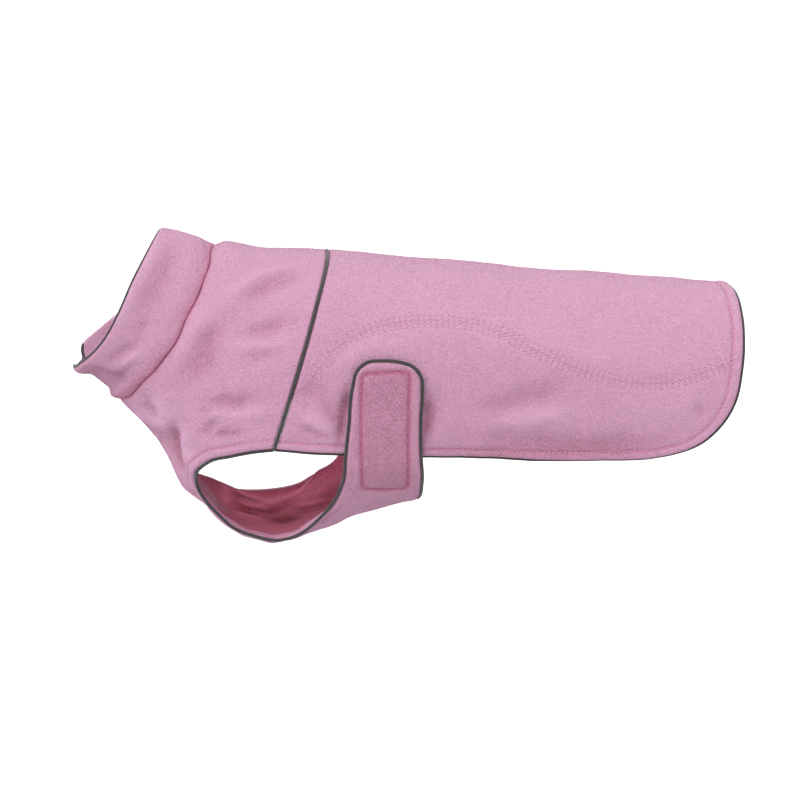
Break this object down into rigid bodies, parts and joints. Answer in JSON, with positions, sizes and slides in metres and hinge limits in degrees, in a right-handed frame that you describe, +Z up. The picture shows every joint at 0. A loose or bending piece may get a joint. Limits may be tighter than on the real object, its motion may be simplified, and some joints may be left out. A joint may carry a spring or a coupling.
{
  "type": "dog winter coat",
  "caption": "Hollow fleece dog coat in its worn shape, with stand collar, open armholes, belly band closed by tabs, curved side seams and corded piping.",
  "frame": {"origin": "inside the top of the back at the yoke seam, where the wearer's withers carry the coat", "axes": "+X to the tail, head at -X, +Z up, the wearer's left side at -Y"},
  "size_m": [0.3984, 0.1337, 0.1961],
  "materials": {
    "fleece": "matt brushed pink fleece",
    "piping": "dark grey woven cord piping"
  },
  "bodies": {
    "root": {"collar": "fleece", "front": "fleece", "back": "fleece", "side_left": "fleece", "side_right": "fleece", "collar_piping": "piping", "yoke_piping": "piping", "hem_piping": "piping", "armhole_piping_left": "piping", "armhole_piping_right": "piping"}
  },
  "joints": []
}
